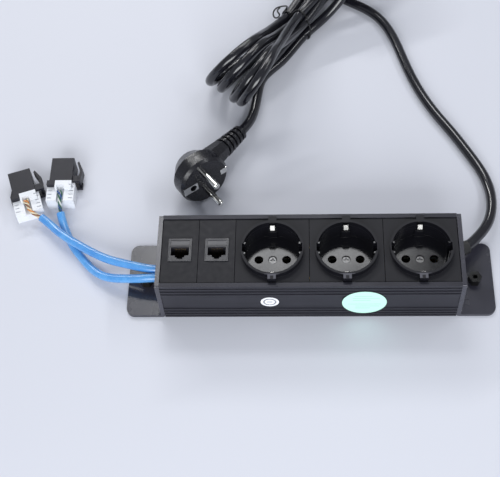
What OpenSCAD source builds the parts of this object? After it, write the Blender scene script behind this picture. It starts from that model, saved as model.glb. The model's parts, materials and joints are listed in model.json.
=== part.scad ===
// Power strip for mounting on a desk or wall: an extruded housing with bent end
// brackets, three earthed sockets, two data modules with their cables and loose
// keystone jacks, and a mains lead folded into a tied hank with an angled plug.

/* [Housing] */
// Depth of the extruded housing, front to back
body_d = 56.6; // [56.4:0.1:58]
// Height of the extruded housing
body_h = 42.7; // [42.6:0.1:43.4]
// Length of the extruded housing between the end brackets
body_l = 200.4; // [200.2:0.1:201]
// Height of the fine ribs on the front and back walls
rib_h = 0.6; // [0.3:0.1:0.8]

/* [End brackets] */
// Thickness of the vertical end plate
plate_t = 3.0; // [2.5:0.1:3.5]
// Thickness of the mounting flange
flange_t = 2.5; // [2:0.1:3]
// Distance from the strip's centre to the end of each flange
flange_x = 127.5; // [126:0.5:132]
// Corner radius of the flanges
flange_r = 6; // [3:0.5:8]
// Distance of each mounting standoff from the strip's centre
standoff_x = 114.5; // [113:0.5:116]
// Height of the standoffs above the flange
standoff_h = 6; // [4:0.5:8]
// Radius of the threaded hole in each standoff
standoff_hole_r = 1.65; // [1.25:0.05:2]

/* [Sockets] */
// Radius of the socket well
well_r = 19.5; // [19.3:0.1:19.7]
// Depth of the socket well below its rim
well_depth = 17; // [16.5:0.1:17.5]
// Height of the rim above the module's face
rim_h = 4.5; // [4:0.1:4.6]
// Distance between the two pin holes
pin_pitch = 19; // [19:1:19]
// Radius of the pin holes
pin_hole_r = 3; // [2.9:0.05:3.1]

/* [Data modules] */
// Width of a port opening
port_w = 12.2; // [11.6:0.1:12.6]
// Height of a port opening without its latch notch
port_h = 6.4; // [6.2:0.1:6.6]
// Depth of a port
port_depth = 13; // [10:0.5:14]

/* [Cords] */
// Diameter of the mains lead
lead_d = 7.5; // [7:0.1:7.5]
// Diameter of the data cables
cable_d = 6.2; // [5.5:0.1:6.2]

/* [Labels] */
// Diameter of the green inspection label
green_d = 30; // [20:1:32]
// Diameter of the white label
white_d = 12.4; // [10:0.2:15]

/* [Hidden] */
$fn = 64;
node = "all";

socket_x = [-25, 25, 75];
data_x = [-87.5, -62.5];
sides = [-1, 1];
side_names = ["front", "back"];

// Housing section
wall_in = 25.9;
floor_t = 2;
ledge_z = 38;
ledge_t = 1.5;
ledge_in = 23.5;
seat_in = 25.1;
rib_z = [3.6, 7.2, 10.8, 30.4, 34, 38];
rib_w = 1.3;
port_low = [23, 5.6];
port_low_r = 3.1;
port_high = [23.7, 34.3];
port_high_r = 2.3;
tap_r = 1.25;
plate_head_r = 2.4;

// Where the lead and the cables leave the end plates
lead_yz = [15, 15.5];
sleeve_in_x = 91;
sleeve_turn = 25;
sleeve_tail = 7.2;
cable_ab_y = [0.7, -5.9];
cable_z = 16;
cable_mid_y = -2.6;
standoff_y = -2;

// Modules
face_z = 42;
module_w = 49.8;
module_front = 24.5;
socket_l = 49.7;
data_l = 24.7;
rim_z = face_z + rim_h;
well_z = rim_z - well_depth;
well_floor_t = 2;
well_under = well_z - well_floor_t;
collar_r = 21.2;
boss_w = 5.6;
clip_slot_w = 4;
lining_z = 36.8;
lining_t = 1;
lining_y = 17.7;
tray_x = 13.6;
tray_y = 22.4;
tray_z = 12.5;
tray_t = 1;
strap_z = 23.4;
strap_t = 1;
bar_z = tray_z + tray_t;
bar_t = 0.8;
leaf_x = 2.6;
leaf_t = 0.7;
leaf_top = 22.5;
bar_y = 7;
earth_y = 14;
terminal_x = 50;

label_t = 0.15;

// Earth clips
clip_w = 3.2;
clip_t = 0.7;
clip_y = 19.3;
clip_pivot_z = 26.2;
bead_r = 1;

// Loose jacks: place and turn
jack_place = [[-215.5, 86.5, 0], [-183, 98, 0]];
jack_turn = [19, 0];
jack_w = 16.6;
jack_l = 20;
jack_h = 14.6;
block_l = 15.5;
block_h = 11;

// Plug: centre of its face, and how it lies
plug_at = [-74.7, 71.4, 21.2];
plug_turn = [81, 0, 35.7];
plug_r = 19.5;
pin_r = 2.4;
pin_l = 19;
relief_root = [-81.6, 81.1, 19.3];
relief_tip = [-50.6, 125.4, 9];
relief_len = norm(relief_tip - relief_root);
relief_start = 30;

// Hank: an upright bundle of folds on the floor
hank_near = [-51.5, 163.5];
hank_far = [32, 295];
hank_w = 58;
hank_h = 50;
tie_along = 0.5;

// Routes, as points along the middle of each cord
lead_route = [
    [94, 15, 15.5], [99, 15, 15.5], [104, 15.3, 15.5], [109.3, 18.2, 14.8],
    [114.2, 23, 13.6], [119.5, 29.5, 11.8], [126.5, 40.5, 9.4], [131, 55.5, 7],
    [131.5, 71.5, 5], [128, 87, 4], [119.5, 105, 3.8], [108.5, 125, 3.8],
    [97, 144, 3.8], [87, 164, 3.8], [79, 185.5, 3.8], [73, 206, 3.8],
    [66, 227, 3.8], [57.5, 242, 3.8], [48.5, 251, 3.8], [41.5, 255.8, 3.8]
];
plug_lead_route = [[-50.6, 125.4, 9], [-44.8, 135.5, 7.3]];
cable_routes = [
    [
        [-94.5, 0.7, 16], [-100.2, 0.7, 16], [-106, 0.7, 16], [-115, 2.2, 15.6],
        [-128, 6, 14.5], [-141, 10.6, 13], [-156, 18.9, 11.2], [-170, 28.3, 9.5],
        [-182, 38, 7.6], [-193.5, 49, 6.4], [-201.5, 53.4, 6.4]
    ],
    [
        [-71.5, -2, 13.5], [-75.5, -4.4, 13.8], [-81, -6, 14.8], [-90, -6, 16],
        [-100.2, -5.9, 16], [-106, -5.9, 16], [-117, -5.6, 14.5], [-130, -3.8, 11.2],
        [-142, -0.6, 7.6], [-153, 6.6, 4.6], [-162.5, 17.4, 3.2], [-170.5, 28, 3.2],
        [-176, 38.5, 3.2], [-180, 48, 3.8], [-182.6, 56, 5.4], [-183, 62.5, 6.4]
    ]
];

NODES = concat(
    ["housing", "end_bracket_left", "end_bracket_right", "hex_standoffs",
     "end_plate_screws"],
    [for (i = [1:3]) str("socket_", i)],
    [for (i = [1:3]) str("socket_base_", i)],
    [for (i = [1:3], s = side_names) str("earth_clip_", s, "_", i)],
    ["socket_screws", "live_bar", "neutral_bar", "earth_bar", "terminal_screws",
     "inner_leads"],
    [for (i = [1:2]) str("data_plate_", i)],
    [for (i = [1:2]) str("data_jack_", i)],
    [for (i = [1:2]) str("data_terminal_", i)],
    ["jack_contacts", "lead_sleeve", "cable_grommet", "mains_lead", "cord_hank",
     "plug_lead", "cord_tie", "plug_body", "plug_relief", "plug_pins",
     "plug_earth_contacts"],
    [for (i = [1:2]) str("data_cable_", i)],
    [for (i = [1:2]) str("loose_jack_", i)],
    [for (i = [1:2]) str("loose_jack_latch_", i)],
    [for (i = [1:2]) str("loose_jack_block_", i)],
    ["green_label", "white_label"]
);

// ---- helpers ----

// A flat box given by its low and high corners
module box(low, high) {
    translate(low)
        cube(high - low);
}

// A rectangle from x0 to x1, h wide about y = 0, with both corners at x1 rounded
module tab(x0, x1, h, r) {
    translate([x0, -h / 2])
        square([x1 - x0 - r, h]);
    translate([x0, -h / 2 + r])
        square([x1 - x0, h - 2 * r]);
    for (s = sides)
        translate([x1 - r, s * (h / 2 - r)])
            circle(r);
}

// A screw along +Z with its head's underside at z = 0
module screw(shank_r, shank_l, head_r, head_h) {
    difference() {
        union() {
            translate([0, 0, -shank_l])
                cylinder(h = shank_l + 0.01, r = shank_r);
            cylinder(h = head_h, r = head_r);
        }
        for (a = [0, 90])
            rotate([0, 0, a])
                translate([-head_r * 0.7, -0.45, head_h * 0.3])
                    cube([head_r * 1.4, 0.9, head_h]);
    }
}

// A countersunk screw along +Z with the top of its head at z = 0
module flat_screw(shank_r, shank_l, head_r, head_h) {
    difference() {
        union() {
            translate([0, 0, -shank_l])
                cylinder(h = shank_l - head_h + 0.01, r = shank_r);
            translate([0, 0, -head_h])
                cylinder(h = head_h, r1 = shank_r, r2 = head_r);
        }
        for (a = [0, 90])
            rotate([0, 0, a])
                translate([-head_r * 0.6, -0.35, -head_h * 0.5])
                    cube([head_r * 1.2, 0.7, head_h]);
    }
}

// A round wire through points, each stretch run on a little past its corners
module wire(points, r) {
    last = len(points) - 1;
    for (i = [0:last - 1]) {
        d = points[i + 1] - points[i];
        before = i == 0 ? 0 : 0.8 * r;
        after = i == last - 1 ? 0 : 0.8 * r;
        translate(points[i])
            rotate([0, acos(d.z / norm(d)), atan2(d.y, d.x)])
                translate([0, 0, -before])
                    cylinder(h = norm(d) + before + after, r = r);
    }
}

// A point on the smooth curve through the points, u running from 0 to len - 1
function on_curve(p, u) =
    let (
        n = len(p) - 1,
        i = min(floor(u), n - 1),
        t = u - i,
        b = p[i],
        c = p[i + 1],
        a = i > 0 ? p[i - 1] : 2 * b - c,
        d = i < n - 1 ? p[i + 2] : 2 * c - b
    )
    0.5 * (2 * b + (c - a) * t + (2 * a - 5 * b + 4 * c - d) * t * t
        + (3 * b - a - 3 * c + d) * t * t * t);

function unit(v) = v / norm(v);

// A cord of n_sides sides and radius r along the curve through the points
module cord(p, r, n_sides, per_span = 1) {
    n = (len(p) - 1) * per_span;
    rings = [
        for (i = [0:n])
            let (
                u = i / per_span,
                here = on_curve(p, u),
                ahead = on_curve(p, min(u + 0.05, len(p) - 1)),
                behind = on_curve(p, max(u - 0.05, 0)),
                t = unit(ahead - behind),
                side = unit(cross([0, 0, 1], t)),
                up = cross(t, side)
            )
            for (k = [0:n_sides - 1])
                here + r * (cos(360 * k / n_sides) * side + sin(360 * k / n_sides) * up)
    ];
    walls = [
        for (i = [0:n - 1], k = [0:n_sides - 1])
            let (a = i * n_sides + k, b = i * n_sides + (k + 1) % n_sides)
            [a, a + n_sides, b + n_sides, b]
    ];
    caps = [
        [for (k = [0:n_sides - 1]) k],
        [for (k = [n_sides - 1:-1:0]) n * n_sides + k]
    ];
    polyhedron(rings, concat(walls, caps), convexity = 10);
}

// ---- housing and brackets ----

module housing_section() {
    full = body_d / 2;
    difference() {
        union() {
            translate([-full + rib_h, 0])
                square([body_d - 2 * rib_h, body_h]);
            translate([-full, 0])
                square([body_d, 1.6]);
            translate([-full, body_h - 2.4])
                square([body_d, 2.4]);
            for (z = rib_z)
                translate([-full, z - rib_w / 2])
                    square([body_d, rib_w]);
        }
        difference() {
            union() {
                translate([-wall_in, floor_t])
                    square([2 * wall_in, ledge_z - ledge_t - floor_t]);
                translate([-ledge_in, floor_t])
                    square([2 * ledge_in, body_h]);
                translate([-seat_in, ledge_z])
                    square([2 * seat_in, body_h]);
            }
            for (s = sides) {
                translate([s * port_low.x, port_low.y])
                    circle(port_low_r);
                translate([s * port_high.x, port_high.y])
                    circle(port_high_r);
            }
        }
        for (s = sides, p = [port_low, port_high])
            translate([s * p.x, p.y])
                circle(tap_r);
    }
}

module housing() {
    color([0.16, 0.16, 0.18])
        rotate([90, 0, 90])
            translate([0, 0, -body_l / 2])
                linear_extrude(body_l)
                    housing_section();
}

// The bracket on the +X end, without its cord hole
module end_bracket() {
    x0 = body_l / 2;
    difference() {
        union() {
            translate([x0 + plate_t, 0, 0])
                rotate([0, -90, 0])
                    linear_extrude(plate_t)
                        tab(0, body_h, body_d, 1.2);
            linear_extrude(flange_t)
                tab(x0, flange_x, body_d, flange_r);
            // fillet inside the bend
            difference() {
                box([x0 + plate_t - 0.01, -body_d / 2, flange_t - 0.01],
                    [x0 + plate_t + 1.2, body_d / 2, flange_t + 1.2]);
                translate([x0 + plate_t + 1.2, 0, flange_t + 1.2])
                    rotate([90, 0, 0])
                        cylinder(h = body_d + 1, r = 1.2, center = true);
            }
        }
        // round outside of the bend
        difference() {
            box([x0 - 1, -body_d / 2 - 1, -1], [x0 + 2.2, body_d / 2 + 1, 2.2]);
            translate([x0 + 2.2, 0, 2.2])
                rotate([90, 0, 0])
                    cylinder(h = body_d + 3, r = 2.2, center = true);
        }
        translate([standoff_x, standoff_y, -1])
            cylinder(h = flange_t + 2, r = 3);
        for (s = sides, p = [port_low, port_high])
            translate([x0, s * p.x, p.y])
                rotate([0, 90, 0]) {
                    translate([0, 0, -1])
                        cylinder(h = plate_t + 2, r = tap_r + 0.15);
                    translate([0, 0, plate_t - 1.4])
                        cylinder(h = 1.41, r1 = tap_r + 0.05, r2 = plate_head_r + 0.1);
                }
    }
}

module end_bracket_right() {
    color([0.1, 0.1, 0.11])
        difference() {
            end_bracket();
            translate([body_l / 2 - 1, lead_yz.x, lead_yz.y])
                rotate([0, 90, 0])
                    cylinder(h = plate_t + 2, r = 5.2);
        }
}

module end_bracket_left() {
    color([0.1, 0.1, 0.11])
        difference() {
            mirror([1, 0, 0])
                end_bracket();
            translate([-body_l / 2 + 1, cable_mid_y, cable_z])
                rotate([0, -90, 0])
                    cylinder(h = plate_t + 2, r = 7);
        }
}

module hex_standoffs() {
    color([0.72, 0.72, 0.74])
        for (s = sides)
            translate([s * standoff_x, standoff_y, 0])
                difference() {
                    union() {
                        translate([0, 0, 0.3])
                            cylinder(h = flange_t - 0.29, r = 2.95);
                        translate([0, 0, flange_t])
                            cylinder(h = standoff_h, r = 4.62, $fn = 6);
                    }
                    translate([0, 0, -1])
                        cylinder(h = flange_t + standoff_h + 2, r = standoff_hole_r);
                }
}

module end_plate_screws() {
    color([0.3, 0.3, 0.32])
        for (e = sides, s = sides, p = [port_low, port_high])
            translate([e * (body_l / 2 + plate_t - 0.1), s * p.x, p.y])
                rotate([0, e * 90, 0])
                    flat_screw(tap_r - 0.05, 14, plate_head_r, 1.3);
}

// ---- sockets, each drawn about its own centre ----

module socket() {
    color([0.3, 0.3, 0.32]) {
        difference() {
            union() {
                box([-socket_l / 2, -module_front, ledge_z], [socket_l / 2, module_w / 2, face_z]);
                translate([0, 0, well_under])
                    cylinder(h = rim_z - well_under, r = collar_r, $fn = 128);
                for (s = sides)
                    translate([0, s * 22, (ledge_z + rim_z) / 2])
                        cube([boss_w, 5, rim_z - ledge_z], center = true);
                translate([0, 0, strap_z + strap_t])
                    cylinder(h = well_under - strap_z, r = 3.5);
            }
            difference() {
                translate([0, 0, well_z])
                    cylinder(h = well_depth + 1, r = well_r, $fn = 128);
                for (s = sides)
                    translate([0, s * (lining_y + 2), (well_z + lining_z) / 2])
                        cube([clip_slot_w + 2, 4, lining_z - well_z + 1], center = true);
            }
            for (s = sides) {
                translate([s * pin_pitch / 2, 0, well_under - 1])
                    cylinder(h = well_floor_t + 2, r = pin_hole_r);
                // side notches
                translate([s * 19.4, 0, well_z + 15])
                    cube([1.6, 6.4, 30], center = true);
                // slots for the earth clips: behind a lining at the bottom, open above it
                clip_slot(s, lining_y + lining_t, well_under - 1, rim_z - 1.5);
                clip_slot(s, lining_y - 1, lining_z, rim_z - 1.5);
            }
            translate([0, 0, strap_z])
                cylinder(h = 10, r = 1.7);
            translate([0, 0, well_z - 2.2])
                cylinder(h = 3, r = 2.9);
            // arrow mark at the back of the floor
            translate([0, 0, well_z - 0.9])
                linear_extrude(1)
                    polygon([[-3.4, 10.6], [3.4, 10.6], [0, 5.4]]);
        }
        // guide ribs beside the notches
        for (s = sides, t = sides)
            translate([s * 18.9, t * 3.9, well_z + 8])
                cube([1.9, 1.4, 16], center = true);
    }
}

// One slot, from y0 outwards and from z0 up to z1
module clip_slot(side, y0, z0, z1) {
    translate([0, side * (y0 + 23.2) / 2, (z0 + z1) / 2])
        cube([clip_slot_w, 23.2 - y0, z1 - z0], center = true);
}

module socket_base() {
    color([0.8, 0.8, 0.78])
        difference() {
            union() {
                difference() {
                    box([-tray_x, -tray_y, tray_z], [tray_x, tray_y, well_under]);
                    box([-tray_x + tray_t, -tray_y + tray_t, tray_z + tray_t],
                        [tray_x - tray_t, tray_y - tray_t, well_under + 1]);
                }
                translate([0, 0, tray_z])
                    cylinder(h = strap_z - tray_z, r = 3.2);
            }
            for (s = sides)
                box([-tray_x - 1, s * bar_y - 2.2, tray_z + tray_t],
                    [tray_x + 1, s * bar_y + 2.2, bar_z + 1.4]);
            box([-tray_x - 1, earth_y - 2.5, strap_z - 0.4], [tray_x + 1, earth_y + 2.5, well_under + 1]);
            translate([0, 0, tray_z + tray_t])
                cylinder(h = 20, r = 1.2);
        }
}

module socket_screws() {
    color([0.75, 0.75, 0.75])
        for (x = socket_x)
            translate([x, 0, well_z - 2.2])
                screw(1.15, 10, 2.5, 1.5);
}

// Earth clip at the back of a socket, bending inwards to its nose
module earth_clip() {
    bends = [[clip_y, clip_pivot_z], [clip_y, lining_z + 0.4], [16.5, 41.4], [18.4, rim_z - 2.2]];
    color([0.78, 0.72, 0.5])
        rotate([90, 0, 90])
            translate([0, 0, -clip_w / 2])
                linear_extrude(clip_w) {
                    polygon(concat(
                        [for (b = bends) b - [clip_t / 2, 0]],
                        [for (i = [len(bends) - 1:-1:0]) bends[i] + [clip_t / 2, 0]]
                    ));
                    translate([clip_y, clip_pivot_z])
                        circle(bead_r);
                }
}

// ---- conductors ----

// A bar along X with a pair of spring leaves under one pin hole of each socket
module contact_bar(pin_side) {
    y = -pin_side * bar_y;
    color([0.78, 0.6, 0.3])
        difference() {
            union() {
                box([socket_x[0] - 12, y - 1.5, bar_z], [socket_x[2] + 12, y + 1.5, bar_z + bar_t]);
                for (x = socket_x) {
                    px = x + pin_side * pin_pitch / 2;
                    reach = leaf_x + leaf_t / 2;
                    box([px - reach, min(y, -3), bar_z], [px + reach, max(y, 3), bar_z + bar_t]);
                    for (s = sides)
                        translate([px + s * leaf_x, 0, (bar_z + leaf_top) / 2])
                            cube([leaf_t, 6, leaf_top - bar_z], center = true);
                }
                terminal_block([terminal_x, y, bar_z]);
            }
            terminal_holes([terminal_x, y, bar_z]);
        }
}

// Block under a bar, with a hole along X for the conductor and one from above for its screw
module terminal_block(top) {
    translate(top)
        box([-4, -3.5, -6], [4, 3.5, 0.01]);
}

module terminal_holes(top) {
    translate(top - [0, 0, 3]) {
        rotate([0, 90, 0])
            cylinder(h = 10, r = 1.5, center = true);
        cylinder(h = 10, r = 1.3);
    }
}

module live_bar() {
    contact_bar(-1);
}

module neutral_bar() {
    contact_bar(1);
}

module earth_bar() {
    color([0.78, 0.6, 0.3])
        difference() {
            union() {
                box([socket_x[0] - 12, earth_y - 2, strap_z], [socket_x[2] + 12, earth_y + 2, strap_z + strap_t]);
                terminal_block([terminal_x, earth_y, strap_z]);
                for (x = socket_x) {
                    box([x - 2.5, -20.9, strap_z], [x + 2.5, 20.9, strap_z + strap_t]);
                    translate([x, 0, strap_z])
                        cylinder(h = strap_t, r = 5);
                    for (s = sides)
                        translate([x, s * clip_y, strap_z + strap_t + 1.3])
                            cube([4, 3, 2.61], center = true);
                }
            }
            for (x = socket_x) {
                translate([x, 0, strap_z - 1])
                    cylinder(h = strap_t + 2, r = 1.7);
                for (s = sides)
                    translate([x, s * clip_y, clip_pivot_z])
                        rotate([0, 90, 0])
                            cylinder(h = 5, r = bead_r + 0.05, center = true);
            }
            terminal_holes([terminal_x, earth_y, strap_z]);
        }
}

module terminal_screws() {
    color([0.75, 0.75, 0.75]) {
        for (s = sides)
            translate([terminal_x, s * bar_y, bar_z + bar_t])
                screw(1.2, 2.6, 2, 1.2);
        translate([terminal_x, earth_y, strap_z + strap_t])
            screw(1.2, 2.6, 2, 1.2);
    }
}

// The three insulated conductors between the lead's end and the terminals
module inner_leads() {
    wire_r = 1.1;
    apart = 2.5;
    turn_x = sleeve_in_x - 1.1;
    y0 = lead_yz.x;
    z0 = lead_yz.y;
    low = 7.3;
    ends = [
        [[62, y0 + 1, low], [57, earth_y, strap_z - 3]],
        [[62, bar_y + 2, low], [57, bar_y, bar_z - 3]],
        [[80, -bar_y, low], [60, -bar_y, low], [57, -bar_y, bar_z - 3]]
    ];
    color([0.35, 0.25, 0.2])
        for (k = [0:2]) {
            y = y0 + apart * (1 - k);
            last = ends[k][len(ends[k]) - 1];
            wire(concat(
                [[lead_route[0].x, y, z0], [turn_x, y, z0], [turn_x, y, low]],
                ends[k],
                [[terminal_x + 1.2, last.y, last.z]]
            ), wire_r);
        }
}

// ---- data modules, each drawn about its own centre ----

jack_x = 8;
jack_y = [-8.2, 9.6];
jack_top = face_z + 0.5;
port_back = 2.9;

module data_plate() {
    color([0.3, 0.3, 0.32])
        difference() {
            union() {
                box([-data_l / 2, -module_front, ledge_z], [data_l / 2, module_w / 2, face_z]);
                box([-9.4, -10, 31], [9.4, 11.4, ledge_z + 1]);
            }
            box([-jack_x - 0.1, jack_y[0] - 0.1, 20], [jack_x + 0.1, jack_y[1] + 0.1, 50]);
        }
}

// Outline of a port: its back edge on y = 0, and the latch notch in two steps
module port_shape() {
    for (cut = [[port_w, port_h], [6.4, port_h + 1.5], [3.7, port_h + 2.8]])
        translate([-cut.x / 2, -cut.y])
            square(cut);
}

module data_jack() {
    color([0.42, 0.42, 0.44])
        difference() {
            box([-jack_x, jack_y[0], 20], [jack_x, jack_y[1], jack_top]);
            translate([0, port_back, jack_top - port_depth])
                linear_extrude(20)
                    port_shape();
            // label recess, and the lower edge round the port
            box([-6.4, 4.6, jack_top - 0.5], [6.4, 8.2, 50]);
            box([-jack_x + 0.7, jack_y[0] + 0.7, jack_top - 0.3], [jack_x - 0.7, port_back + 0.7, 50]);
        }
}

module data_terminal() {
    color([0.85, 0.85, 0.85])
        difference() {
            box([-7, -2, 8], [7, 7, 20]);
            for (k = [0:3])
                box([-5.4 + 3.2 * k, -4, 7], [-4.6 + 3.2 * k, 8, 13]);
        }
}

// A wider block whose left end takes the second cable
module data_terminal_wide() {
    data_terminal();
    color([0.85, 0.85, 0.85])
        box([-9, -6, 9.5], [-6.99, 3, 18]);
}

module jack_contacts() {
    color([0.85, 0.7, 0.3])
        for (x = data_x, k = [0:7])
            translate([x - 3.57 + 1.02 * k - 0.15, 0, 0])
                rotate([90, 0, 90])
                    linear_extrude(0.3)
                        polygon([[port_back, 40.2], [port_back - 0.6, 40.2], [1.5, 31.5], [2.1, 31.5]]);
}

// ---- where the lead and cables come out ----

module lead_sleeve() {
    x0 = body_l / 2;
    bend_x = x0 + plate_t + 0.6;
    bore = lead_d / 2 + 0.05;
    color([0.08, 0.08, 0.09])
        translate([0, lead_yz.x, lead_yz.y])
            difference() {
                union() {
                    translate([sleeve_in_x, 0, 0])
                        rotate([0, 90, 0])
                            cylinder(h = x0 - 2 - sleeve_in_x + 0.01, r1 = 4.5, r2 = 5.1);
                    translate([x0 - 2, 0, 0])
                        rotate([0, 90, 0])
                            cylinder(h = 2, r = 6.4);
                    translate([x0 - 0.01, 0, 0])
                        rotate([0, 90, 0])
                            cylinder(h = plate_t + 0.02, r = 5.15);
                    translate([x0 + plate_t, 0, 0])
                        rotate([0, 90, 0])
                            cylinder(h = 1.2, r = 6.4);
                    translate([bend_x, 0, 0])
                        rotate([0, 90, sleeve_turn])
                            cylinder(h = sleeve_tail, r1 = 4.9, r2 = 4.6);
                }
                translate([sleeve_in_x - 1, 0, 0])
                    rotate([0, 90, 0])
                        cylinder(h = bend_x - sleeve_in_x + 1, r = bore);
                translate([bend_x, 0, 0])
                    sphere(bore);
                translate([bend_x, 0, 0])
                    rotate([0, 90, sleeve_turn])
                        cylinder(h = sleeve_tail + 1, r = bore);
            }
}

module cable_grommet() {
    x0 = body_l / 2;
    color([0.08, 0.08, 0.09])
        translate([0, cable_mid_y, cable_z])
            rotate([0, -90, 0])
                difference() {
                    union() {
                        translate([0, 0, x0 - 1.5])
                            cylinder(h = 1.5, r = 8.2);
                        translate([0, 0, x0 - 0.01])
                            cylinder(h = plate_t + 0.02, r = 6.95);
                        translate([0, 0, x0 + plate_t])
                            cylinder(h = 1.5, r1 = 8.2, r2 = 7.6);
                    }
                    for (y = cable_ab_y)
                        translate([0, y - cable_mid_y, x0 - 3])
                            cylinder(h = plate_t + 6, r = cable_d / 2 + 0.05);
                }
}

// ---- mains lead ----

module mains_lead() {
    color([0.05, 0.05, 0.06])
        cord(lead_route, lead_d / 2, 10);
}

module plug_lead() {
    color([0.05, 0.05, 0.06])
        cord(plug_lead_route, lead_d / 2, 10);
}

module hank_outline() {
    along = hank_far - hank_near;
    for (p = [hank_near, hank_far])
        translate(p)
            circle(hank_w / 2);
    translate(hank_near)
        rotate([0, 0, atan2(along.y, along.x)])
            translate([0, -hank_w / 2])
                square([norm(along), hank_w]);
}

module cord_hank() {
    color([0.05, 0.05, 0.06])
        linear_extrude(hank_h)
            hank_outline();
}

// Twist of thin wire around the middle of the hank
module cord_tie() {
    along = hank_far - hank_near;
    color([0.1, 0.1, 0.1])
        translate([hank_near.x + tie_along * along.x, hank_near.y + tie_along * along.y, 0])
            rotate([0, 0, atan2(along.y, along.x)])
                difference() {
                    box([-1.5, -hank_w / 2 - 1.5, 0], [1.5, hank_w / 2 + 1.5, hank_h + 1.5]);
                    box([-2, -hank_w / 2, -1], [2, hank_w / 2, hank_h]);
                }
}

// ---- plug, drawn about the centre of its face with the pins along +Z ----

module at_plug() {
    translate(plug_at)
        rotate(plug_turn)
            children();
}

module along_relief(from) {
    d = relief_tip - relief_root;
    translate(relief_root)
        rotate([0, acos(d.z / relief_len), atan2(d.y, d.x)])
            translate([0, 0, from])
                children();
}

module earth_shape() {
    difference() {
        box([-plug_r + 1.3, -3.2, -0.8], [-6.5, 3.2, 0.3]);
        translate([-10.5, 0, -2])
            cylinder(h = 4, r = 2.5);
    }
    box([13, -2.4, -0.8], [plug_r - 1.3, 2.4, 0.3]);
}

module plug_body() {
    color([0.12, 0.12, 0.13])
        difference() {
            union() {
                at_plug()
                    rotate_extrude($fn = 96)
                        polygon([[0, 0], [17.8, 0], [plug_r, -2.2], [plug_r, -12],
                                 [12.5, -22], [11, -23.5], [0, -23.5]]);
                along_relief(0)
                    cylinder(h = relief_start + 0.5, r1 = 11.5, r2 = 7.8, $fn = 8);
            }
            at_plug() {
                earth_shape();
                translate([-10.5, 0, -16])
                    cylinder(h = 17, r = 2.5);
                for (s = sides)
                    translate([0, s * pin_pitch / 2, -6])
                        cylinder(h = 7, r = pin_r);
            }
        }
}

module plug_relief() {
    ring = 4.6;
    long = relief_len - relief_start - 0.5;
    color([0.1, 0.1, 0.11])
        along_relief(relief_start + 0.5)
            rotate_extrude() {
                polygon([[0, 0], [4.8, 0], [4.2, long], [0, long]]);
                for (k = [0:4])
                    translate([0, 1.4 + k * ring])
                        square([7.6 - 0.4 * k, 2.6]);
            }
}

module plug_pins() {
    color([0.8, 0.8, 0.8])
        at_plug()
            for (s = sides)
                translate([0, s * pin_pitch / 2, 0]) {
                    translate([0, 0, -6])
                        cylinder(h = 6 + pin_l - 1, r = pin_r);
                    translate([0, 0, pin_l - 1.01])
                        cylinder(h = 1.01, r1 = pin_r, r2 = pin_r - 0.9);
                }
}

module plug_earth_contacts() {
    color([0.7, 0.7, 0.66])
        at_plug()
            earth_shape();
}

// ---- loose keystone jacks, each drawn with its port facing +Y ----

module at_jack(i) {
    translate(jack_place[i - 1])
        rotate([0, 0, jack_turn[i - 1]])
            children();
}

latch_x = jack_w / 2 + 4.6;
latch_root_y = -17.5;
latch_z = jack_h / 2;

module loose_jack() {
    w = jack_w / 2;
    color([0.12, 0.12, 0.13])
        difference() {
            union() {
                box([-w, -jack_l, 0], [w, 0, jack_h]);
                // fixed hook, and the arm that reaches back over the terminal block
                linear_extrude(6)
                    polygon([[-w + 0.01, -7], [-w - 3, -15], [-w - 3, -jack_l], [-w + 0.01, -jack_l]]);
                box([-w - 1.8, -jack_l - 3.8, block_h], [-w + 4, -jack_l + 0.01, jack_h]);
                // ears that carry the flexible latch
                for (z = [1.4, jack_h - 3.4])
                    box([w - 0.01, latch_root_y - 2.5, z], [latch_x + 1.6, latch_root_y + 2.5, z + 2]);
            }
            translate([port_back, -port_depth, latch_z])
                rotate([0, -90, -90])
                    linear_extrude(20)
                        port_shape();
            translate([latch_x, latch_root_y, 0])
                cylinder(h = jack_h, r = 0.85);
        }
}

module loose_jack_latch() {
    color([0.12, 0.12, 0.13]) {
        translate([latch_x, latch_root_y, 1.4])
            cylinder(h = jack_h - 2.8, r = 0.8);
        linear_extrude_at(3.7, jack_h - 3.7)
            polygon([[latch_x - 0.8, latch_root_y], [latch_x - 0.2, -9.5], [latch_x - 2.8, -1.6],
                     [latch_x - 1.6, -0.6], [latch_x + 2, -8.5], [latch_x + 0.8, latch_root_y]]);
    }
}

module linear_extrude_at(z0, z1) {
    translate([0, 0, z0])
        linear_extrude(z1 - z0)
            children();
}

module loose_jack_block() {
    w = 10.2;
    front = -jack_l - block_l;
    color([0.9, 0.9, 0.9])
        difference() {
            union() {
                box([-w, front, 0], [w, -jack_l, block_h]);
                box([-4, -jack_l - 6, 0], [w - 2, -jack_l, jack_h]);
            }
            // channel for the cable's wires and slots that grip each of them
            box([-2.6, front - 1, block_h - 3.5], [2.6, -jack_l - 4, jack_h + 1]);
            for (s = sides, k = [0:3])
                box([s * 7.8 - 1.5, front + 2 + 3.2 * k, block_h - 3.5],
                    [s * 7.8 + 1.5, front + 2.8 + 3.2 * k, jack_h + 1]);
        }
}

module data_cable(i) {
    color([0.45, 0.62, 0.85])
        cord(cable_routes[i - 1], cable_d / 2, 10);
}

// ---- labels on the front wall ----

module green_label() {
    color([0.75, 0.95, 0.87])
        translate([36.8, -body_d / 2, 20.3])
            rotate([90, 0, 0])
                cylinder(h = label_t, r = green_d / 2, $fn = 96);
}

module white_label() {
    color([0.95, 0.95, 0.95])
        translate([-27, -body_d / 2 + rib_h, 20.6])
            rotate([90, 0, 0])
                cylinder(h = label_t, r = white_d / 2, $fn = 96);
}

// ---- every node ----

function wants(name) = node == "all" || node == name;

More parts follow.
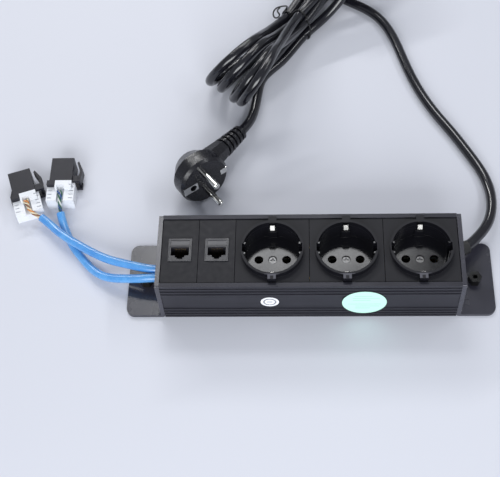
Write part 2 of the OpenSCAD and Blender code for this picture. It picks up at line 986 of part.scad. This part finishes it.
if (wants("housing")) housing();
if (wants("end_bracket_left")) end_bracket_left();
if (wants("end_bracket_right")) end_bracket_right();
if (wants("hex_standoffs")) hex_standoffs();
if (wants("end_plate_screws")) end_plate_screws();
for (i = [1:3]) {
    if (wants(str("socket_", i))) translate([socket_x[i - 1], 0, 0]) socket();
    if (wants(str("socket_base_", i))) translate([socket_x[i - 1], 0, 0]) socket_base();
    if (wants(str("earth_clip_back_", i))) translate([socket_x[i - 1], 0, 0]) earth_clip();
    if (wants(str("earth_clip_front_", i))) translate([socket_x[i - 1], 0, 0]) mirror([0, 1, 0]) earth_clip();
}
if (wants("socket_screws")) socket_screws();
if (wants("live_bar")) live_bar();
if (wants("neutral_bar")) neutral_bar();
if (wants("earth_bar")) earth_bar();
if (wants("terminal_screws")) terminal_screws();
if (wants("inner_leads")) inner_leads();
for (i = [1:2]) {
    if (wants(str("data_plate_", i))) translate([data_x[i - 1], 0, 0]) data_plate();
    if (wants(str("data_jack_", i))) translate([data_x[i - 1], 0, 0]) data_jack();
}
if (wants("data_terminal_1")) translate([data_x[0], 0, 0]) data_terminal();
if (wants("data_terminal_2")) translate([data_x[1], 0, 0]) data_terminal_wide();
if (wants("jack_contacts")) jack_contacts();
if (wants("lead_sleeve")) lead_sleeve();
if (wants("cable_grommet")) cable_grommet();
if (wants("mains_lead")) mains_lead();
if (wants("cord_hank")) cord_hank();
if (wants("plug_lead")) plug_lead();
if (wants("cord_tie")) cord_tie();
if (wants("plug_body")) plug_body();
if (wants("plug_relief")) plug_relief();
if (wants("plug_pins")) plug_pins();
if (wants("plug_earth_contacts")) plug_earth_contacts();
for (i = [1:2]) {
    if (wants(str("data_cable_", i))) data_cable(i);
    if (wants(str("loose_jack_", i))) at_jack(i) loose_jack();
    if (wants(str("loose_jack_latch_", i))) at_jack(i) loose_jack_latch();
    if (wants(str("loose_jack_block_", i))) at_jack(i) loose_jack_block();
}
if (wants("green_label")) green_label();
if (wants("white_label")) white_label();
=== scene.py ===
"""Power strip with earthed sockets, two data ports, a hank of mains lead and loose network jacks."""
import json
import math

import bpy
import numpy
from mathutils import Matrix, Vector


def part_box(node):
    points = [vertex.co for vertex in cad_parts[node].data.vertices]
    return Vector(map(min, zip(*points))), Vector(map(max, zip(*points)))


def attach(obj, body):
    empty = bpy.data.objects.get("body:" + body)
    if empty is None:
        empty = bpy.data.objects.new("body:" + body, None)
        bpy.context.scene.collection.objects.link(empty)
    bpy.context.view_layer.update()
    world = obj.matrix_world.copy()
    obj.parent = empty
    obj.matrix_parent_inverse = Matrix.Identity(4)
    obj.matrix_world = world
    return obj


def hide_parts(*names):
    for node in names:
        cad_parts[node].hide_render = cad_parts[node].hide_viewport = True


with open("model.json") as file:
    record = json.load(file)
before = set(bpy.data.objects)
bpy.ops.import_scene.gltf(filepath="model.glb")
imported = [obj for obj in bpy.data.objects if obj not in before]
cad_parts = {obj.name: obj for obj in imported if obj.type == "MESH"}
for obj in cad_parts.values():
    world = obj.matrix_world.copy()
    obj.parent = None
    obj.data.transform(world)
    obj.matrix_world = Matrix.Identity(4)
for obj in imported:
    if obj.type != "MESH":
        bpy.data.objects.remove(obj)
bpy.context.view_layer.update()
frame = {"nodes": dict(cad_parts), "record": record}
ROOT = "strip"
MM = 0.001

# Heights of the flat plates and of the sockets' rims, in metres
PLATE_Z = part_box("data_plate_1")[1][2]
RIM_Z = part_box("socket_1")[1][2]


def mm(x, y, z):
    """A point given in millimetres, in metres."""
    return Vector((x, y, z)) * MM


def middle_of(node):
    """Centre of a CAD node's box, in metres."""
    low, high = (Vector(corner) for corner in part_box(node))
    return (low + high) / 2


# ---- camera ----

CAMERA_PLACE = (-0.9, -386.7, 689.3)
CAMERA_ANGLES = (5.66, 58.4, -5.23)
LENS = 80.6


def add_camera():
    """The camera in front of the strip and high above it, turned by azimuth, elevation and roll."""
    azimuth, elevation, roll = (math.radians(angle) for angle in CAMERA_ANGLES)
    back = Vector((math.sin(azimuth) * math.cos(elevation),
                   -math.cos(azimuth) * math.cos(elevation), math.sin(elevation)))
    right = Vector((0, 0, 1)).cross(back).normalized()
    up = back.cross(right)
    right, up = (right * math.cos(roll) + up * math.sin(roll),
                 up * math.cos(roll) - right * math.sin(roll))
    data = bpy.data.cameras.new("camera")
    data.lens = LENS
    data.clip_start = 0.01
    camera = bpy.data.objects.new("camera", data)
    bpy.context.scene.collection.objects.link(camera)
    turn = Matrix((right, up, back)).transposed().to_4x4()
    camera.matrix_world = Matrix.Translation(mm(*CAMERA_PLACE)) @ turn
    bpy.context.scene.camera = camera


add_camera()

# ---- materials ----

EDGE_ROUND = 0.00025


class Shade:
    """A small builder of node materials: every call adds a node and gives back its output."""

    def __init__(self, name):
        self.mat = bpy.data.materials.new(name)
        self.mat.use_nodes = True
        self.tree = self.mat.node_tree
        self.bsdf = self.tree.nodes["Principled BSDF"]
        self.coords = self.tree.nodes.new("ShaderNodeTexCoord").outputs["Object"]

    def node(self, kind, **inputs):
        made = self.tree.nodes.new(kind)
        for key, value in inputs.items():
            self.set(made.inputs[key.replace("_", " ")], value)
        return made

    def set(self, socket, value):
        if isinstance(value, bpy.types.NodeSocket):
            self.tree.links.new(value, socket)
        else:
            socket.default_value = value

    def noise(self, scale, detail=3.0, stretch=(1, 1, 1)):
        moved = self.node("ShaderNodeMapping", Vector=self.coords, Scale=stretch)
        return self.node("ShaderNodeTexNoise", Vector=moved.outputs[0], Scale=scale,
                         Detail=detail).outputs["Fac"]

    def ramp(self, value, low, high, out_low, out_high):
        made = self.node("ShaderNodeMapRange", Value=value)
        for key, number in (("From Min", low), ("From Max", high),
                            ("To Min", out_low), ("To Max", out_high)):
            made.inputs[key].default_value = number
        return made.outputs["Result"]

    def blend(self, fac, a, b):
        made = self.tree.nodes.new("ShaderNodeMix")
        made.data_type = "RGBA"
        self.set(made.inputs[0], fac)
        self.set(made.inputs[6], a)
        self.set(made.inputs[7], b)
        return made.outputs[2]

    def math(self, what, a, b=0.0):
        made = self.tree.nodes.new("ShaderNodeMath")
        made.operation = what
        self.set(made.inputs[0], a)
        self.set(made.inputs[1], b)
        return made.outputs[0]

    def axis(self, which):
        """The object's own X, Y or Z, in metres."""
        return self.node("ShaderNodeSeparateXYZ", Vector=self.coords).outputs[which]

    def near(self, value, middle, half):
        """1 where the value is within half of middle, and 0 elsewhere."""
        made = self.tree.nodes.new("ShaderNodeMath")
        made.operation = "COMPARE"
        for place, number in enumerate((value, middle, half)):
            self.set(made.inputs[place], number)
        return made.outputs[0]

    def both(self, first, *others):
        for other in others:
            first = self.math("MULTIPLY", first, other)
        return first

    def bump(self, height, strength, distance):
        """Relief in the surface, over edges that are softened by a hair's breadth."""
        soft = self.tree.nodes.new("ShaderNodeBevel")
        soft.samples = 4
        soft.inputs["Radius"].default_value = EDGE_ROUND
        made = self.node("ShaderNodeBump", Height=height, Strength=strength, Distance=distance,
                         Normal=soft.outputs["Normal"])
        self.set(self.bsdf.inputs["Normal"], made.outputs["Normal"])

    def put(self, **inputs):
        for key, value in inputs.items():
            self.set(self.bsdf.inputs[key.replace("_", " ")], value)
        return self.mat


def grey(value, tint=1.0):
    return (value, value, value * tint, 1)


def moulded(name, dark, light, rough, grain=2600, depth=0.00003, **extra):
    """Moulded plastic or rubber: cloudy colour, a fine grain, and scuffs that change its gloss."""
    s = Shade(name)
    cloud = s.noise(60, 4)
    scuff = s.noise(260, 6)
    fine = s.noise(grain, 2)
    s.bump(s.math("ADD", fine, s.math("MULTIPLY", cloud, 0.4)), 0.5, depth)
    return s.put(Base_Color=s.blend(s.ramp(cloud, 0.3, 0.7, 0, 1), dark, light),
                 Roughness=s.ramp(scuff, 0.3, 0.7, rough - 0.06, rough + 0.08), **extra)


def metal(name, dark, light, rough, stretch=(1, 1, 1), metallic=1.0):
    """Bare or plated metal, with fine scratches along the stretched direction and dull patches."""
    s = Shade(name)
    patch = s.noise(90, 4)
    line = s.noise(900, 3, stretch)
    s.bump(line, 0.25, 0.00002)
    return s.put(Base_Color=s.blend(s.ramp(patch, 0.3, 0.7, 0, 1), dark, light),
                 Metallic=metallic,
                 Roughness=s.ramp(patch, 0.25, 0.75, rough - 0.07, rough + 0.1))


def anodised():
    """Black anodised extrusion: faint drawing lines along X and a satin sheen."""
    s = Shade("anodised_black")
    lines = s.noise(1500, 2, (0.02, 1, 1))
    cloud = s.noise(35, 3)
    s.bump(lines, 0.35, 0.00002)
    sheen = s.math("ADD", s.math("MULTIPLY", lines, 0.3), cloud)
    return s.put(Base_Color=s.blend(s.ramp(lines, 0.3, 0.7, 0, 1), grey(0.018, 1.4), grey(0.028, 1.4)),
                 Metallic=0.35, Roughness=s.ramp(sheen, 0.4, 0.9, 0.34, 0.48))


def powder_coat():
    """Black powder coat with its fine orange peel."""
    s = Shade("powder_black")
    peel = s.noise(1100, 2)
    cloud = s.noise(40, 4)
    s.bump(peel, 0.45, 0.00005)
    return s.put(Base_Color=s.blend(s.ramp(cloud, 0.3, 0.7, 0, 1), grey(0.024, 1.45), grey(0.032, 1.45)),
                 Roughness=s.ramp(cloud, 0.3, 0.7, 0.22, 0.3), Coat_Weight=0.3, Coat_Roughness=0.15)


def socket_plastic():
    """Glossy moulded sockets with matt faces and a paler tab on each front boss."""
    s = Shade("socket_plastic")
    x, y, z = (s.axis(k) for k in "XYZ")
    cloud = s.noise(60, 4)
    fine = s.noise(2600, 2)
    rim = s.near(z, RIM_Z, 0.0002)
    face = s.math("ADD", s.near(z, PLATE_Z, 0.0002), rim)
    from_axis = s.math("PINGPONG", s.math("ADD", x, 0.025), 0.025)
    notch = s.both(s.near(from_axis, 0, 0.0011), s.near(y, -0.0234, 0.0015))
    tab = s.both(s.near(y, -0.0224, 0.0019), rim, s.math("SUBTRACT", 1, notch))
    body = s.blend(s.ramp(cloud, 0.3, 0.7, 0, 1), grey(0.006, 1.4), grey(0.009, 1.4))
    body = s.blend(face, body, grey(0.009, 1.4))
    grain = s.math("MULTIPLY", fine, s.ramp(face, 0, 1, 0.15, 1))
    s.bump(s.math("ADD", grain, s.math("MULTIPLY", cloud, 0.3)), 0.5, 0.00003)
    gloss = s.ramp(cloud, 0.3, 0.7, 0.13, 0.2)
    return s.put(Base_Color=s.blend(tab, body, grey(0.085, 1.2)),
                 Roughness=s.math("ADD", gloss, s.math("MULTIPLY", face, 0.4)),
                 Specular_IOR_Level=s.ramp(face, 0, 1, 0.5, 0.35))


def jack_plastic():
    """Data jacks: satin grey with a paler label strip in the recess behind each port."""
    s = Shade("jack_plastic_grey")
    cloud = s.noise(60, 4)
    fine = s.noise(2600, 2)
    strip = s.both(s.near(s.axis("Y"), 0.0064, 0.00185), s.near(s.axis("Z"), PLATE_Z, 0.0002))
    body = s.blend(s.ramp(cloud, 0.3, 0.7, 0, 1), grey(0.018, 1.25), grey(0.025, 1.25))
    s.bump(fine, 0.5, 0.00003)
    return s.put(Base_Color=s.blend(strip, body, grey(0.07, 1.1)),
                 Roughness=s.ramp(cloud, 0.3, 0.7, 0.24, 0.34))


def jacket_black():
    """Satin jacket of the mains lead: faint extrusion ripples and dusty patches."""
    s = Shade("jacket_black")
    cloud = s.noise(70, 4)
    fine = s.noise(1500, 3)
    dust = s.ramp(s.noise(420, 6), 0.58, 0.75, 0, 0.35)
    body = s.blend(s.ramp(cloud, 0.3, 0.7, 0, 1), grey(0.006, 1.5), grey(0.01, 1.5))
    s.bump(s.math("ADD", fine, s.math("MULTIPLY", cloud, 0.8)), 0.2, 0.00003)
    return s.put(Base_Color=s.blend(dust, body, grey(0.03)),
                 Roughness=s.ramp(fine, 0.3, 0.7, 0.12, 0.19), Specular_IOR_Level=0.7)


def jacket_blue():
    """Glossy blue network cable jacket, a little translucent, with pale patches painted on as highlight."""
    s = Shade("jacket_blue")
    cloud = s.noise(90, 4)
    fine = s.noise(900, 3)
    body = s.blend(s.ramp(cloud, 0.3, 0.7, 0, 1), (0.06, 0.27, 0.68, 1), (0.1, 0.38, 0.8, 1))
    s.bump(s.math("ADD", fine, s.math("MULTIPLY", cloud, 3)), 0.35, 0.00008)
    # Painted highlight: random pale blue patches lighten the jacket where the real one shows pale highlights
    return s.put(Base_Color=s.blend(s.ramp(s.noise(1400, 4), 0.5, 0.8, 0, 0.3), body, (0.45, 0.75, 0.95, 1)),
                 Roughness=s.ramp(cloud, 0.3, 0.7, 0.2, 0.32), Coat_Weight=1.0, Coat_Roughness=0.22)


def label_paper(name, node, base, ink, bars, ring):
    """Printed paper label with faint fibres, short bars of ink and perhaps a ring of ink.

    Each bar is (x, z, half its length, half its height), from the middle of the label."""
    middle = middle_of(node)
    s = Shade(name)
    fibre = s.noise(2500, 5)
    colour = s.blend(s.ramp(fibre, 0.3, 0.7, 0, 1), base, tuple(0.95 * c for c in base[:3]) + (1,))
    marks = []
    if ring:
        away = s.tree.nodes.new("ShaderNodeVectorMath")
        away.operation = "DISTANCE"
        s.set(away.inputs[0], s.coords)
        away.inputs[1].default_value = middle
        marks.append(s.near(away.outputs["Value"], ring, 0.0005))
    for x, z, half_x, half_z in bars:
        marks.append(s.both(s.near(s.axis("X"), middle.x + x, half_x),
                            s.near(s.axis("Z"), middle.z + z, half_z)))
    for mark in marks:
        colour = s.blend(s.math("MULTIPLY", mark, s.ramp(fibre, 0.3, 0.7, 0.6, 0.95)), colour, ink)
    s.bump(fibre, 0.3, 0.00003)
    return s.put(Base_Color=colour, Roughness=s.ramp(fibre, 0.3, 0.7, 0.42, 0.6))


GREEN_BARS = [
    (-0.001, 0.0088, 0.006, 0.0003), (0.001, 0.006, 0.009, 0.0003), (-0.002, 0.0032, 0.006, 0.0003),
    (0, -0.002, 0.011, 0.0003), (0.002, -0.0048, 0.008, 0.0003), (-0.001, -0.0076, 0.005, 0.0003),
]
WHITE_BARS = [(0, 0, 0.0018, 0.0005)]
WHITE_RING = 0.004

MATERIALS = {
    "housing_black": anodised(),
    "bracket_black": powder_coat(),
    "bright_steel": metal("zinc_steel", grey(0.13), grey(0.26), 0.3),
    "dark_steel": metal("dark_steel", grey(0.012), grey(0.03), 0.25, metallic=0.6),
    "socket_grey": socket_plastic(),
    "base_plastic": moulded("base_plastic", (0.62, 0.6, 0.55, 1), (0.7, 0.69, 0.64, 1), 0.45),
    "clip_metal": metal("clip_nickel", (0.4, 0.39, 0.37, 1), (0.6, 0.59, 0.57, 1), 0.24, (1, 1, 0.05)),
    # The bars' brass is darker than bare brass: painted shade for the bars seen through the gaps between the
    # modules
    "brass": metal("bar_brass", (0.3, 0.21, 0.08, 1), (0.45, 0.33, 0.14, 1), 0.35),
    "gold": metal("contact_gold", (0.3, 0.2, 0.08, 1), (0.42, 0.3, 0.14, 1), 0.3),
    "wire_insulation": moulded("wire_brown", (0.16, 0.07, 0.03, 1), (0.22, 0.1, 0.05, 1), 0.35),
    "data_grey": moulded("data_plastic", grey(0.008, 1.4), grey(0.01, 1.4), 0.52,
                         Specular_IOR_Level=0.35),
    "jack_grey": jack_plastic(),
    "jack_black": moulded("jack_plastic_black", grey(0.007, 1.8), grey(0.01, 1.8), 0.38,
                          Specular_IOR_Level=0.4),
    "block_white": moulded("block_plastic", (0.78, 0.8, 0.84, 1), (0.86, 0.88, 0.92, 1), 0.3,
                           Subsurface_Weight=0.1, Subsurface_Radius=(0.002, 0.002, 0.002)),
    "blue_cable": jacket_blue(),
    "black_rubber": moulded("black_rubber", grey(0.014), grey(0.022), 0.5),
    "black_cord": jacket_black(),
    "tie_wire": moulded("tie_plastic", grey(0.004), grey(0.008), 0.25),
    "plug_black": moulded("plug_rubber", grey(0.007, 1.4), grey(0.011, 1.4), 0.26, grain=1800,
                          depth=0.00004),
    "pin_nickel": metal("pin_nickel", grey(0.62, 0.97), grey(0.82, 0.97), 0.16, (1, 1, 0.1)),
    "green_label": label_paper("paper_green", "green_label", (0.62, 1.0, 0.84, 1),
                               (0.3, 0.6, 0.5, 1), GREEN_BARS, 0),
    "white_label": label_paper("paper_white", "white_label", (0.95, 0.96, 1.0, 1),
                               (0.03, 0.035, 0.06, 1), WHITE_BARS, WHITE_RING),
}


def finish_piece(obj, slot, replaces=(), paint=None):
    """Gives a new piece the material named by its slot, and the body it rides on."""
    obj.data.materials.clear()
    obj.data.materials.append(paint or MATERIALS[slot])
    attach(obj, ROOT)
    if replaces:
        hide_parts(*replaces)
    return obj


def dress_cad_nodes():
    for part in frame["record"]["subparts"]:
        node = frame["nodes"][part["node"]]
        material = MATERIALS[part["material_slot"]]
        for place in node.material_slots:
            place.material = material


dress_cad_nodes()


# ---- cords ----

def headings(points, gaps):
    """Direction at each point of the natural spline through them, whose bend changes evenly."""
    last = len(points) - 1
    rows = numpy.zeros((last + 1, last + 1))
    right = numpy.zeros((last + 1, 3))
    slopes = [numpy.array(b - a) / gap for a, b, gap in zip(points[:-1], points[1:], gaps)]
    for k in range(1, last):
        before, after = gaps[k - 1], gaps[k]
        rows[k, k - 1:k + 2] = after, 2 * (before + after), before
        right[k] = 3 * (after * slopes[k - 1] + before * slopes[k])
    rows[0, :2] = rows[last, -1:-3:-1] = 2, 1
    right[0], right[last] = 3 * slopes[0], 3 * slopes[-1]
    return [Vector(row) for row in numpy.linalg.solve(rows, right)]


def cord_curve(name, points, diameter, resolution=6, sides=5):
    """A round cord along the points, given in metres, as one smooth open spline."""
    data = bpy.data.curves.new(name, "CURVE")
    data.dimensions = "3D"
    data.bevel_depth = diameter / 2
    data.bevel_resolution = sides
    data.resolution_u = resolution
    data.use_fill_caps = True
    spline = data.splines.new("BEZIER")
    spline.bezier_points.add(len(points) - 1)
    gaps = [(b - a).length for a, b in zip(points[:-1], points[1:])]
    found = headings(points, gaps)
    for k, (knot, point, heading) in enumerate(zip(spline.bezier_points, points, found)):
        knot.co = point
        knot.handle_left_type = knot.handle_right_type = "FREE"
        knot.handle_left = point - heading * gaps[max(k - 1, 0)] / 3
        knot.handle_right = point + heading * gaps[min(k, len(gaps) - 1)] / 3
    obj = bpy.data.objects.new(name, data)
    bpy.context.scene.collection.objects.link(obj)
    return obj


# Diameters in metres; the points below are in millimetres
LEAD_D = 0.0075
CABLE_D = 0.0062
TIE_D = 0.0012
WIRE_D = 0.0011
LEAD_ROUTE = [
    (104.4, 14.3, 15.7), (109.3, 18.2, 14.8), (114.2, 23, 13.6), (119.5, 29.5, 11.8),
    (126.5, 40.5, 9.4), (131, 55.5, 7), (131.5, 71.5, 5), (128, 87, 4), (119.5, 105, 3.8),
    (108.5, 125, 3.8), (97, 144, 3.8), (87, 164, 3.8), (79, 185.5, 3.8), (73, 206, 3.8),
    (66, 227, 3.8), (57.5, 242, 3.8), (48.5, 251, 3.8), (41.5, 255.8, 3.8),
]
PLUG_LEAD_ROUTE = [
    (-36.2, 179, 4), (-39.2, 165, 4), (-41.2, 150.5, 4.9), (-44.9, 135.6, 7.3), (-50.6, 125.4, 9),
]

# The hank lies along its own line on the floor: s along it, n to its right, z up
HANK_NEAR = Vector((-51.5, 163.5, 0))
ALONG = Vector((0.536, 0.844, 0))
ACROSS = Vector((0.844, -0.536, 0))
UP = Vector((0, 0, 1))
FOLD_R = 24.5
# How far round a fold goes on its upper side, in degrees from level
FOLD_PAST_TOP = 108
# Where the tie is along the hank, and how softly the strands bend there
TIE_S = 77
TIE_SOFT = 0.25

# Centre of each fold, and how far it is turned to the right of the hank's line
NEAR_FOLDS = [
    ((12.6, -13.5, 26), 12), ((11.8, -5, 26.4), 4), ((7.2, 6.5, 28.6), -5), ((3.8, 13.5, 33.6), -10),
]
FAR_FOLDS = [(158, -18, 25), (154, -9, 31), (160, 0, 31.5), (156, 9, 31), (159, 18, 31.5)]
# Lean of the folds' planes, as the parts to the right and up
NEAR_LEAN = (0.45, 0.893)
FAR_LEAN = (0.55, 0.835)
# Where each strand passes through the tie: to the right, and up
UPPER_AT_TIE = [(-6, 20.6), (1.7, 20.6), (9.4, 20.6), (5.5, 28.1)]
LOWER_AT_TIE = [(-6, 5.6), (-2.2, 13.1), (1.7, 5.6), (5.5, 13.1)]
LAST_AT_TIE = (9.4, 5.6)


def on_hank(s, n, z):
    return HANK_NEAR + s * ALONG + n * ACROSS + z * UP


def fold(centre, lean, turn, towards, climbs):
    """Points round one turn between a level lower strand and a sloping upper one, as (s, n, z).

    towards is +1 at the far end of the hank and -1 at the near one."""
    rise = 1 if climbs else -1
    turned = [-90, -60, -30, 0, 30, 60, 90]
    turned = turned + [FOLD_PAST_TOP] if climbs else [-FOLD_PAST_TOP] + turned
    points = []
    for angle in map(math.radians, turned):
        out = FOLD_R * math.cos(angle) * towards
        up = FOLD_R * math.sin(angle) * rise
        points.append((centre[0] + out * math.cos(turn),
                       centre[1] + out * math.sin(turn) + up * lean[0],
                       centre[2] + up * lean[1]))
    return points


def strand(start, end, tie):
    """Points between two folds, drawn together at the tie."""
    points = []
    for share in (0.14, 0.3, 0.42, 0.5, 0.58, 0.7, 0.86):
        s = start[0] + (end[0] - start[0]) * share
        edge = start if abs(s - start[0]) < abs(s - end[0]) else end
        away = min(1.0, abs(s - TIE_S) / abs(edge[0] - TIE_S))
        away = (math.hypot(away, TIE_SOFT) - TIE_SOFT) / (math.hypot(1, TIE_SOFT) - TIE_SOFT)
        points.append((s, tie[0] + (edge[1] - tie[0]) * away, tie[1] + (edge[2] - tie[1]) * away))
    return points


def hank_points():
    """The folded length of lead, from the end of its run on the floor to the plug's run."""
    near = [fold(c, NEAR_LEAN, math.radians(turn), -1, False) for c, turn in NEAR_FOLDS]
    far = [fold(c, FAR_LEAN, 0, 1, True) for c in FAR_FOLDS]
    points = []
    for k in range(4):
        points += far[k]
        points += strand(far[k][-1], near[k][0], UPPER_AT_TIE[k])
        points += near[k]
        points += strand(near[k][-1], far[k + 1][0], LOWER_AT_TIE[k])
    points += far[4]
    last = far[4][-1]
    points += [(139, last[1] - 1.5, last[2] - 6), (125, 26, 33.5), (111, 20.5, 19), (95, 14, 8.5),
               (TIE_S, *LAST_AT_TIE), (62, 8.4, 4.6), (44, 7.2, 4)]
    return [on_hank(*p) for p in points]


def under_hank():
    """The run under the hank and its turn to the right, up to the first fold."""
    return [on_hank(*p) for p in (
        (127.8, 14, 3.8), (128.8, 0, 3.8), (132.5, -12, 3.8), (139.5, -22.7, 3.8), (148.5, -29.6, 4))]


def add_mains_lead():
    points = [Vector(p) for p in LEAD_ROUTE] + under_hank() + hank_points()
    points += [Vector(p) for p in PLUG_LEAD_ROUTE]
    lead = cord_curve("mains_lead_jacket", [p * MM for p in points], LEAD_D)
    finish_piece(lead, "black_cord", ("mains_lead", "cord_hank", "plug_lead"))
    return lead


def add_tie():
    """Thin wire round the hank, its ends twisted together and curled over to the left."""
    ring = [(-10.4, 4), (-10.6, 13), (-10.4, 20.5), (-8.2, 24.7), (-2.5, 25.4), (1.6, 30),
            (5.5, 32.7), (9.4, 30.4), (12.2, 24.6), (13.8, 19), (14, 6), (11.6, 1.8), (9, 1.4),
            (0, 1.4), (-7.5, 1.5), (-10.6, 4.2), (-11.4, 13), (-10.6, 21)]
    tail = [(TIE_S + 3, -9, 25.6), (TIE_S, -13, 26), (TIE_S - 5, -15.8, 25), (TIE_S - 9.2, -14, 23.4),
            (TIE_S - 10, -10.6, 23.6), (TIE_S - 7.4, -9.4, 25.4), (TIE_S - 6.2, -12, 26.6),
            (TIE_S - 2, -12.4, 27)]
    steps = [on_hank(TIE_S - 2 + 4 * k / len(ring), n, z) for k, (n, z) in enumerate(ring)]
    steps += [on_hank(*p) for p in tail]
    return finish_piece(cord_curve("tie_wire", [p * MM for p in steps], TIE_D, 4, 3),
                        "tie_wire", ("cord_tie",))


lead = add_mains_lead()
tie = add_tie()

CABLE_ROUTES = [
    [(-100.2, 0.7, 16), (-106, 0.7, 16), (-115, 2.2, 15.6), (-128, 6, 14.5), (-141, 10.6, 13),
     (-156, 18.9, 11.2), (-170, 28.3, 9.5), (-182, 38, 7.6), (-190, 45.8, 6.5), (-195.5, 50.6, 6.4)],
    [(-100.2, -5.9, 16), (-106, -5.9, 16), (-117, -5.6, 14.5), (-130, -3.8, 11.2), (-142, -0.6, 7.6),
     (-153, 6.6, 4.6), (-162.5, 17.4, 3.2), (-170.5, 28, 3.2), (-176, 38.5, 3.2), (-180, 48, 3.8),
     (-182.2, 55, 5.4)],
]


def add_cable(i):
    points = [Vector(p) * MM for p in CABLE_ROUTES[i]]
    cable = cord_curve(f"data_cable_jacket_{i + 1}", points, CABLE_D)
    return finish_piece(cable, "blue_cable", (f"data_cable_{i + 1}",))


cables = [add_cable(i) for i in range(2)]

# Middle line of each bundle of bare wires, from the jacket's end into the jack's block
WIRE_ROUTES = [
    [(-193.5, 48.9, 6.4), (-197.5, 50.6, 8), (-201.5, 52.4, 10), (-204.6, 55.4, 10.8),
     (-206.2, 59.5, 10.4), (-207.8, 62.2, 12)],
    [(-181.8, 53.5, 5.2), (-182.3, 57, 7), (-182.8, 60.5, 9.4), (-183, 65, 10.4), (-183.4, 70.5, 11)],
]
WIRE_PAINTS = [("wire_cream", "wire_orange", "wire_cream", "wire_brown_light"),
               ("wire_green", "wire_white", "wire_green", "wire_blue")]
WIRE_MATERIALS = {
    "wire_cream": moulded("wire_cream", (0.75, 0.66, 0.45, 1), (0.82, 0.74, 0.55, 1), 0.3),
    "wire_orange": moulded("wire_orange", (0.6, 0.22, 0.06, 1), (0.7, 0.3, 0.1, 1), 0.3),
    "wire_brown_light": moulded("wire_brown_light", (0.2, 0.08, 0.04, 1), (0.28, 0.12, 0.07, 1), 0.3),
    "wire_green": moulded("wire_green", (0.02, 0.09, 0.06, 1), (0.04, 0.14, 0.09, 1), 0.3),
    "wire_white": moulded("wire_white", (0.7, 0.72, 0.7, 1), (0.78, 0.8, 0.78, 1), 0.3),
    "wire_blue": moulded("wire_blue", (0.02, 0.06, 0.2, 1), (0.04, 0.1, 0.3, 1), 0.3),
}


# Points between two of a bundle's own, its twist at each in degrees, and how far out the wires run
WIRE_STEPS = 4
WIRE_TWIST = 38
WIRE_OUT = 0.85
WIRE_PARTING = 0.9


def add_wires(i):
    """Four thin wires twisted along the bundle's line, parting at its end."""
    line = [Vector(p) for p in WIRE_ROUTES[i]]
    wires = []
    for k, paint in enumerate(WIRE_PAINTS[i]):
        points = []
        for j in range(WIRE_STEPS * (len(line) - 1) + 1):
            at = min(j // WIRE_STEPS, len(line) - 2)
            share = j / WIRE_STEPS - at
            here = line[at].lerp(line[at + 1], share)
            onward = (line[at + 1] - line[at]).normalized()
            right = onward.cross(UP).normalized()
            angle = math.radians(90 * k + WIRE_TWIST * j)
            out = WIRE_OUT + WIRE_PARTING * max(0.0, j / WIRE_STEPS - len(line) + 2.2)
            outward = math.cos(angle) * right + math.sin(angle) * right.cross(onward)
            points.append(here + out * outward)
        wire = cord_curve(f"bare_wire_{i + 1}_{k + 1}", [p * MM for p in points], WIRE_D, 3, 3)
        wires.append(finish_piece(wire, "wire_insulation", paint=WIRE_MATERIALS[paint]))
    return wires


wires = [add_wires(i) for i in range(2)]


# ---- floor and light ----

FLOOR_HALF = 3.0


def add_stage():
    """A pale, plain floor."""
    corners = [(x * FLOOR_HALF, y * FLOOR_HALF, 0) for x, y in ((-1, -1), (1, -1), (1, 1), (-1, 1))]
    mesh = bpy.data.meshes.new("floor")
    mesh.from_pydata(corners, [], [(0, 1, 2, 3)])
    floor = bpy.data.objects.new("floor", mesh)
    bpy.context.scene.collection.objects.link(floor)
    s = Shade("floor_paper")
    cloud = s.noise(3, 2)
    mesh.materials.append(s.put(
        Base_Color=s.blend(cloud, (0.66, 0.675, 0.74, 1), (0.68, 0.695, 0.76, 1)),
        Roughness=s.ramp(cloud, 0.3, 0.7, 0.36, 0.42), Specular_IOR_Level=0.25))


def add_area(name, place, target, size, power, colour=(1, 1, 1)):
    data = bpy.data.lights.new(name, "AREA")
    data.shape = "RECTANGLE"
    data.size, data.size_y = size
    data.energy = power
    data.color = colour
    lamp = bpy.data.objects.new(name, data)
    lamp.location = place
    lamp.rotation_euler = (Vector(target) - Vector(place)).to_track_quat("-Z", "Y").to_euler()
    bpy.context.scene.collection.objects.link(lamp)


def add_lights():
    """Long thin lights behind and to the right for the cords' bright lines, and a soft one in front."""
    add_area("key", (-0.55, 1.3, 1.05), (0, 0.1, 0), (1.4, 0.07), 9)
    add_area("top", (-0.1, 0.85, 1.35), (0, 0.08, 0), (0.6, 0.25), 3.5, (0.97, 0.98, 1))
    add_area("right", (0.95, 0.25, 1.2), (0, 0.1, 0), (1.2, 0.06), 4, (0.95, 0.97, 1))
    add_area("front", (-0.1, -1.3, 0.75), (0, -0.05, 0.02), (1.4, 0.8), 22, (0.96, 0.98, 1))
    world = bpy.data.worlds.new("studio")
    world.use_nodes = True
    world.node_tree.nodes["Background"].inputs["Color"].default_value = (0.88, 0.92, 1, 1)
    world.node_tree.nodes["Background"].inputs["Strength"].default_value = 0.33
    bpy.context.scene.world = world
    bpy.context.scene.view_settings.view_transform = "Standard"


add_stage()
add_lights()
